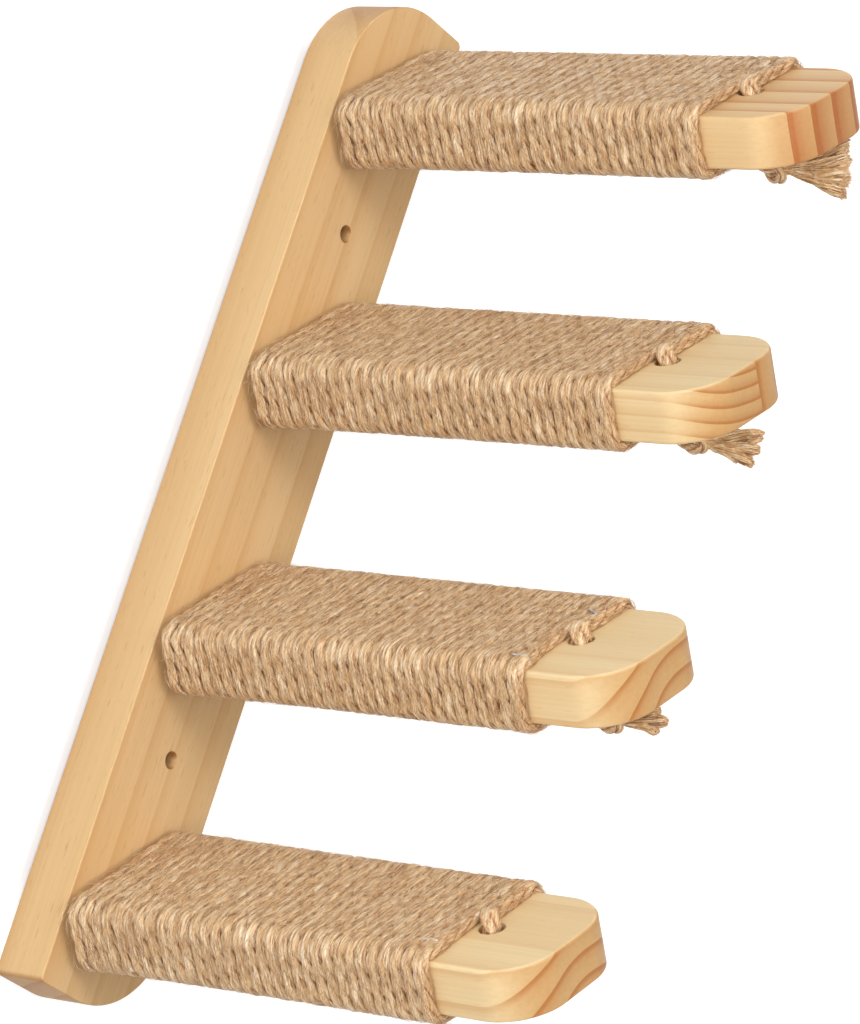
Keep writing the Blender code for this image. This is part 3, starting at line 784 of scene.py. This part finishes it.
def make_backboard(pine):
    """The leaning backboard: two opposite corners rounded, wall holes and sunk screw holes."""
    half, end = board_width / 2, board_length / 2
    side, long_side = half - board_end_radius, end - board_end_radius
    corner = sharp_corner_radius
    outline, normals = closed_outline(
        arc(half - corner, end - corner, corner, 0, 90, 8),
        arc(-side, long_side, board_end_radius, 90, 180, 40),
        arc(corner - half, corner - end, corner, 180, 270, 8),
        arc(side, -long_side, board_end_radius, 270, 360, 40))
    upright = np.array(Matrix.Rotation(board_lean, 3, "Y") @ Matrix.Rotation(math.pi / 2, 3, "X"))
    flat_of = np.linalg.inv(upright)
    wall_rows = hole_profile(board_thickness, wall_hole_radius, wall_hole_neck_radius,
                             ledge=board_thickness / 2 - wall_hole_depth, ease=wall_rim_round)
    screw_rows = hole_profile(board_thickness, screw_shank_radius, screw_head_radius,
                              cone=screw_head_height - board_thickness / 2)
    holes = []
    for upper, lower in ((1, 2), (3, 4)):
        x, z = ((one + two) / 2 for one, two in zip(step_middles[upper], step_middles[lower]))
        holes.append(((flat_of @ (x, 0, z))[:2], wall_rows))
    for x, z in step_middles.values():
        for offset in (-screw_offset, screw_offset):
            holes.append(((flat_of @ (x + offset, 0, z))[:2], screw_rows))
    points, groups = plank_mesh(outline, normals, board_thickness, board_edge_round, holes)
    points = points @ upright.T - (0, board_thickness / 2, 0)
    piece = add_piece("board", points, groups, pine, sharp=crease_angle)
    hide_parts("backboard")


# Materials

class Nodes:
    """The node tree of a material or a world, with short calls for adding and joining nodes."""

    def __init__(self, owner):
        owner.use_nodes = True
        self.owner = owner
        self.tree = owner.node_tree
        self.shader = self.tree.nodes.get("Principled BSDF")

    def add(self, kind, inputs=None, **settings):
        """A new node; inputs get values or other nodes' outputs."""
        node = self.tree.nodes.new("ShaderNode" + kind)
        for key, value in settings.items():
            setattr(node, key, value)
        for key, value in (inputs or {}).items():
            self.put(node.inputs[key], value)
        return node

    def made(self, kind, inputs=None, **settings):
        """The first output of a new node."""
        return self.add(kind, inputs, **settings).outputs[0]

    def put(self, socket, value):
        if isinstance(value, bpy.types.NodeSocket):
            self.tree.links.new(value, socket)
        else:
            socket.default_value = value

    def finish(self, **inputs):
        """Set the main shader's inputs, with _ for a space, and give the material back."""
        for key, value in inputs.items():
            self.put(self.shader.inputs[key.replace("_", " ")], value)
        return self.owner

    def math(self, operation, *values, clamp=False):
        return self.made("Math", dict(enumerate(values)), operation=operation, use_clamp=clamp)

    def plus(self, *values, clamp=False):
        return self.math("ADD", *values, clamp=clamp)

    def minus(self, *values):
        return self.math("SUBTRACT", *values)

    def times(self, *values, clamp=False):
        return self.math("MULTIPLY", *values, clamp=clamp)

    def absolute(self, value):
        return self.math("ABSOLUTE", value)

    def position(self):
        return self.add("TexCoord").outputs["Object"]

    def dot(self, vector, axis):
        return self.add("VectorMath", {0: vector, 1: axis}, operation="DOT_PRODUCT").outputs["Value"]

    def scaled(self, vector, scale, location=(0, 0, 0)):
        return self.made("Mapping", {"Vector": vector, "Scale": scale, "Location": location})

    def noise(self, vector, scale=1.0, detail=3.0, roughness=0.55):
        return self.made("TexNoise", {"Vector": vector, "Scale": scale, "Detail": detail,
                                      "Roughness": roughness})

    def ramp(self, value, *stops):
        node = self.add("ValToRGB", {0: value})
        elements = node.color_ramp.elements
        for number, (at, colour) in enumerate(stops):
            element = elements[number] if number < 2 else elements.new(at)
            element.position = at
            element.color = (*colour, 1)
        return node.outputs[0]

    def span(self, value, low, high, to_low=0.0, to_high=1.0):
        inputs = {0: value, 1: low, 2: high, 3: to_low, 4: to_high}
        return self.made("MapRange", inputs, interpolation_type="SMOOTHSTEP")

    def mix(self, factor, one, two, blend="MIX"):
        node = self.add("Mix", data_type="RGBA", blend_type=blend)
        for key, value in (("Factor", factor), ("A", one), ("B", two)):
            self.put(node.inputs[key], value)
        return node.outputs["Result"]

    def tinted(self, colour, tint):
        return self.mix(1.0, colour, tint, "MULTIPLY")

    def blend(self, factor, one, two):
        return self.made("MixShader", {0: factor, 1: one, 2: two})

    def bump(self, height, strength, distance):
        return self.made("Bump", {"Height": height, "Strength": strength, "Distance": distance})

    def seen_straight(self):
        """1 for what the camera sees itself or in a reflection, 0 for light on its way."""
        rays = self.add("LightPath").outputs
        mirrored = self.math("MAXIMUM", rays["Is Glossy Ray"], rays["Is Transmission Ray"])
        return self.math("MAXIMUM", rays["Is Camera Ray"], mirrored)


def new_material(name):
    return Nodes(bpy.data.materials.new(name))


def grey(value):
    """A neutral colour with four channels."""
    return (value, value, value, 1)


# Jute fibres that lie across the others: lean, shift of their noise, strength and colour
jute_crossings = (
    (0.45, 13, 0.60, (0.93, 0.79, 0.57)), (-0.40, 29, 0.60, (0.40, 0.19, 0.07)),
    (0.95, 41, 0.50, (0.90, 0.73, 0.49)), (-0.85, 53, 0.45, (0.46, 0.24, 0.09)))


def make_jute(name, tint=(1.0, 1.0, 1.0)):
    """Jute: fibres run along the rope, light yellow and brown ones mixed, with painted shade in the grooves.

    Three noises stretched along the rope give fibres, yarns and patches; four more, turned to
    both sides, give light and dark fibres that lie across the others.
    """
    n = new_material(name)
    uv = n.made("UVMap", uv_map="rope")
    groove = n.add("Attribute", attribute_name="groove").outputs["Fac"]
    fine = n.noise(n.scaled(uv, (190, 1900, 1)), detail=2.0, roughness=0.6)
    yarn = n.noise(n.scaled(uv, (85, 900, 1), (3, 7, 0)), detail=2.0, roughness=0.6)
    patch = n.noise(n.scaled(uv, (40, 150, 1), (11, 2, 0)))
    body = n.plus(n.times(fine, 0.45), n.times(yarn, 0.55))
    colour = n.ramp(body, (0.39, (0.27, 0.105, 0.028)), (0.45, (0.56, 0.320, 0.125)),
                    (0.50, (0.74, 0.490, 0.245)), (0.55, (0.87, 0.660, 0.400)),
                    (0.61, (0.97, 0.860, 0.680)))
    crossing = []
    for lean, shift, strength, hue in jute_crossings:
        leaning = n.made("Mapping", {"Vector": uv, "Rotation": (0, 0, lean)})
        hair = n.noise(n.scaled(leaning, (150, 1700, 1), (shift, 1, 0)), detail=1.0)
        crossing.append(n.span(hair, 0.57, 0.68))
        colour = n.mix(n.times(crossing[-1], strength), colour, (*hue, 1))
    warm = n.ramp(patch, (0.32, (0.84, 0.72, 0.57)), (0.50, (0.96, 0.91, 0.85)), (0.66, (1.01, 1.0, 0.99)))
    colour = n.tinted(colour, warm)
    # painted shade: deep in the grooves between strands the colour turns dark brown, standing in for the
    # shade there
    colour = n.tinted(colour, n.mix(n.span(groove, 0.25, 0.95), grey(1.0), (0.60, 0.33, 0.16, 1)))
    colour = n.tinted(colour, (*tint, 1))
    rough = n.plus(n.span(yarn, 0.3, 0.7, 0.52, 0.38), n.times(groove, 0.35), clamp=True)
    height = n.plus(n.times(fine, 0.4), n.times(yarn, 0.6))
    height = n.plus(height, n.times(crossing[0], 0.12))
    return n.finish(Base_Color=colour, Roughness=rough, Specular_IOR_Level=0.9, Sheen_Weight=0.1,
                    Sheen_Roughness=0.5, Normal=n.bump(height, 1.0, 1.4 * MM))


def make_pine(name, along, across, through, centre, pith, pitch, phase, wave, contrast,
              closer=(-1.0, 0.0), near_limit=-1.0, glued=None, spread=0.0,
              pale=(0.815, 0.630, 0.355), dark=(0.62, 0.32, 0.115), end_tint=(0.72, 0.58, 0.44),
              end_contrast=0.6, flat_contrast=0.0, flat_tint=(1.0, 1.0, 1.0), pore_strength=0.15):
    """Pine, cut from a log whose pith lies at a place (across, through) beside the board.

    Growth rings are shells round the pith: the distance from it, in ring pitches, runs from pale
    early wood to dark late wood and jumps back. Beyond a place across the board the rings may
    lie closer, or a second glued strip may have its own pith, pitch and phase. Fine streaks and
    sparse dark pores run along it, and the end grain is darker with stronger rings.
    """
    n = new_material(name)
    local = n.made("VectorMath", {0: n.position(), 1: centre}, operation="SUBTRACT")
    l, a, b = n.dot(local, along), n.dot(local, across), n.dot(local, through)

    def drawn_out(lengthwise, crosswise):
        """The place in the board, scaled less along the grain than across it."""
        return n.made("CombineXYZ", {0: n.times(l, lengthwise), 1: n.times(a, crosswise),
                                     2: n.times(b, crosswise)})

    def rings(away_a, away_b, ring_pitch, ring_phase):
        distance = n.math("SQRT", n.plus(n.times(away_a, away_a), n.times(away_b, away_b)))
        return n.math("FRACT", n.plus(n.math("DIVIDE", distance, ring_pitch), ring_phase))

    stretched = drawn_out(0.12, 1)
    bend_a = n.minus(n.noise(stretched, 22.0, 1.0), 0.5)
    bend_b = n.minus(n.noise(n.scaled(stretched, (1, 1, 1), (5, 3, 1)), 22.0, 1.0), 0.5)
    ring_a = n.math("MAXIMUM", a, near_limit)
    away_a = n.plus(n.minus(ring_a, pith[0]), n.times(bend_a, 2 * wave))
    beyond = n.math("MAXIMUM", n.minus(closer[0], ring_a), 0.0)
    away_a = n.minus(away_a, n.times(beyond, closer[1]))
    away_b = n.plus(n.minus(b, pith[1]), n.times(bend_b, 2 * wave))
    ring = rings(away_a, away_b, pitch, phase)
    if glued:
        joint, second_pith, second_pitch, second_phase = glued
        other = rings(n.minus(a, second_pith[0]), n.minus(b, second_pith[1]), second_pitch, second_phase)
        past_joint = n.math("GREATER_THAN", a, joint)
        ring = n.plus(n.times(other, past_joint), n.times(ring, n.minus(1.0, past_joint)))
    late = n.ramp(ring, *((at, (value,) * 3) for at, value in (
        (0.0, 0.0), (0.35, 0.05), (0.72, 0.30), (0.93, 1.0), (0.985, 0.9), (1.0, 0.0))))
    late = n.plus(n.times(late, 1 - spread), n.times(ring, spread))
    normal = n.add("NewGeometry").outputs["Normal"]
    end = n.span(n.absolute(n.dot(normal, along)), 0.25, 0.95)
    flat = n.absolute(n.dot(normal, through))
    strength = n.plus(n.times(end, end_contrast * contrast), 0.62 * contrast)
    strength = n.plus(strength, n.times(flat, flat_contrast * contrast))
    colour = n.mix(n.times(late, strength, clamp=True), (*pale, 1), (*dark, 1))
    streak = n.noise(drawn_out(5, 650), 1.0, 4.0, 0.6)
    colour = n.tinted(colour, n.ramp(streak, (0.3, (0.96, 0.94, 0.91)), (0.6, (1.01, 1.01, 1.02))))
    cloud = n.noise(drawn_out(3, 45), 1.0, 2.0)
    colour = n.tinted(colour, n.ramp(cloud, (0.3, (0.96, 0.92, 0.88)), (0.7, (1.02, 1.02, 1.04))))
    pores = n.span(n.noise(drawn_out(110, 1300), 1.0, 1.0), 0.67, 0.75)
    pores = n.times(pores, n.minus(1.0, end))
    colour = n.mix(n.times(pores, pore_strength), colour, (0.42, 0.22, 0.08, 1))
    for share, tint in ((end, end_tint), (flat, flat_tint)):
        colour = n.mix(share, colour, n.tinted(colour, (*tint, 1)))
    return n.finish(Base_Color=colour, Roughness=n.span(streak, 0.3, 0.7, 0.50, 0.42),
                    Specular_IOR_Level=0.3, Normal=n.bump(streak, 0.12, 0.3 * MM))


def make_metal(name, colour, roughness):
    """Bright steel with a faint unevenness."""
    n = new_material(name)
    blur = n.noise(n.position(), 900.0, 2.0)
    darker = [0.85 * channel for channel in colour]
    return n.finish(Base_Color=n.mix(n.span(blur, 0.3, 0.7), (*colour, 1), (*darker, 1)),
                    Roughness=n.span(blur, 0.3, 0.7, roughness, roughness + 0.12), Metallic=1.0)


# The stage

def make_wall_material(name):
    """White backdrop that keeps soft shadows in front and isn't there when seen from behind.

    It glows a little, so that it shows white; beside the board's near edge it glows less and
    turns bluish, a painted shadow over the board's own narrow shadow there. Right behind the board
    it gives the board's back, which lies on it, the light that an open back would have.
    """
    n = new_material(name)
    n.tree.nodes.remove(n.shader)
    position = n.position()
    along_axis, across_axis, _ = board_axes
    across, along = n.dot(position, across_axis), n.dot(position, along_axis)
    far_along, far_across = n.absolute(along), n.absolute(across)
    # painted shadow: a band beside the board's near edge where the wall's glow drops and turns bluish
    gap = n.absolute(n.plus(across, board_width / 2))
    beside = n.times(n.span(gap, 2 * MM, painted_shadow_width, 1.0, 0.0),
                     n.span(far_along, 0.40 * board_length, 0.46 * board_length, 1.0, 0.0))
    hidden = n.times(*(n.span(far, size / 2 - 3 * MM, size / 2 - 1 * MM, 1.0, 0.0)
                       for far, size in ((far_across, board_width), (far_along, board_length))))
    tint = n.mix(beside, grey(1.0), painted_shadow_tint)
    glow = n.made("Emission", {"Color": tint, "Strength": n.minus(wall_glow, n.times(beside, painted_shadow_depth))})
    matte = n.made("BsdfDiffuse", {"Color": grey(0.42)})
    shown = n.made("AddShader", {0: matte, 1: glow})
    back_light = n.made("Emission", {"Strength": n.times(hidden, back_glow)})
    plain = n.made("AddShader", {0: n.made("BsdfDiffuse", {"Color": grey(0.5)}), 1: back_light})
    behind = n.add("NewGeometry").outputs["Backfacing"]
    whole = n.blend(behind, n.blend(n.seen_straight(), plain, shown), n.made("BsdfTransparent"))
    n.put(n.tree.nodes["Material Output"].inputs["Surface"], whole)
    return n.owner


def make_stage():
    """A white wall behind the board and a white floor well below it."""
    material = make_wall_material("white_backdrop")
    size = 4.0
    low = -1.1
    edge = [(-size, wall_gap, low), (size, wall_gap, low)]
    sheets = {"wall": [*edge, (size, wall_gap, size), (-size, wall_gap, size)],
              "floor": [(-size, -size, low), (size, -size, low), *edge[::-1]]}
    for name, corners in sheets.items():
        mesh = bpy.data.meshes.new(name)
        mesh.from_pydata(corners, [], [(0, 1, 2, 3)])
        mesh.materials.append(material)
        new_object(name, mesh)


def make_surroundings():
    """Soft light from all round, warm below and cool above; seen itself, it is plain white."""
    world = bpy.data.worlds.new("studio")
    bpy.context.scene.world = world
    n = Nodes(world)
    n.tree.nodes.clear()
    rise = n.add("SeparateXYZ", {0: n.add("TexCoord").outputs["Generated"]}).outputs["Z"]
    height = n.made("MapRange", {0: rise, 1: -0.5, 2: 0.7})
    sky = n.ramp(height, (0.0, (0.22, 0.155, 0.105)), (1.0, (0.43, 0.455, 0.48)))
    soft, white = n.made("Background", {"Color": sky}), n.made("Background")
    n.add("OutputWorld", {0: n.blend(n.seen_straight(), soft, white)})


def make_lamps():
    """Soft square lamps that face the steps: a key from the left, a low front fill and one above."""
    aim = Vector((0.0, -0.12, 0.0))
    for name, spot, size, power, colour in (
            ("key", (-2.2, -0.9, 0.5), 1.2, 24.5, (0.98, 1.0, 1.01)),
            ("front", (-0.2, -2.6, 0.6), 1.6, 34, (1.0, 0.93, 0.85)),
            ("above", (-0.9, -1.3, 2.2), 1.2, 25, (0.94, 0.98, 1.0))):
        light = bpy.data.lights.new(name, "AREA")
        light.size = size
        light.energy = power
        light.color = colour
        lamp = new_object(name, light)
        lamp.location = spot
        lamp.rotation_euler = (aim - Vector(spot)).to_track_quat("-Z", "Y").to_euler()


def make_camera():
    """The photograph's camera, from its azimuth, elevation, roll and place."""
    a, e, r = (math.radians(v) for v in (camera_azimuth, camera_elevation, camera_roll))
    back = Vector((math.sin(a) * math.cos(e), -math.cos(a) * math.cos(e), math.sin(e)))
    level = Vector((math.cos(a), math.sin(a), 0))
    upright = back.cross(level)
    right = level * math.cos(r) + upright * math.sin(r)
    up = upright * math.cos(r) - level * math.sin(r)
    turn = Matrix((right, up, back)).transposed().to_4x4()
    data = bpy.data.cameras.new("camera")
    data.lens = camera_lens
    data.clip_start = 0.01
    data.clip_end = 50
    camera = new_object("camera", data)
    camera.matrix_world = Matrix.Translation(camera_place) @ turn
    bpy.context.scene.camera = camera


# What differs from wood to wood
step_grains = {
    1: dict(pith=(0.300, 0.0), pitch=16.5 * MM, phase=0.82, closer=(-20 * MM, 0.62), near_limit=-31 * MM,
            wave=0.7 * MM, contrast=1.4, spread=0.40, pale=(0.81, 0.605, 0.325), dark=(0.60, 0.27, 0.10),
            end_tint=(0.70, 0.54, 0.42), end_contrast=0.5, flat_tint=(0.93, 0.87, 0.80)),
    2: dict(pith=(0.0066, 0.0752), pitch=6.7 * MM, phase=0.075, glued=(6.4 * MM, (0.150, 0.0), 17 * MM, 0.48),
            wave=1.8 * MM, contrast=0.55, spread=0.15, end_contrast=1.6, flat_contrast=-0.25),
    3: dict(pith=(0.0129, -0.0376), pitch=11.2 * MM, phase=0.804, wave=0.7 * MM, contrast=0.75,
            end_contrast=0.8, flat_contrast=-0.3),
    4: dict(pith=(0.0085, -0.0460), pitch=11.2 * MM, phase=0.473, wave=0.7 * MM, contrast=0.85,
            end_contrast=0.8, flat_contrast=-0.3),
}
board_grain = dict(pith=(0.100, -0.100), pitch=16.0 * MM, phase=0.325, wave=1.0 * MM, contrast=0.62,
                   pale=(0.70, 0.475, 0.235), dark=(0.56, 0.29, 0.10), pore_strength=0.45)


def dress():
    """Make every piece, give the fasteners their metal and set the stage."""
    make_camera()
    make_stage()
    make_surroundings()
    make_lamps()
    jute = make_jute("jute_rope")
    fuzz = make_jute("jute_fuzz", (1.06, 1.03, 1.0))
    for number in step_numbers:
        x, z = step_middles[number]
        pine = make_pine("pine_step_%d" % number, *step_axes, (x, 0, z), **step_grains[number])
        make_step_board(number, pine)
        make_winding(number, jute)
        make_knot(number, jute)
        make_tail(number, jute)
        make_fuzz(number, fuzz)
    make_backboard(make_pine("pine_board", *board_axes, (0, 0, 0), **board_grain))
    metals = {"step_screw": make_metal("zinc_steel", (0.62, 0.60, 0.55), 0.32),
              "staple": make_metal("staple_steel", (0.66, 0.66, 0.67), 0.28)}
    for name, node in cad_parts.items():
        for start, metal in metals.items():
            if name.startswith(start):
                node.data.materials.clear()
                node.data.materials.append(metal)


dress()
bpy.context.scene.view_settings.view_transform = "Standard"
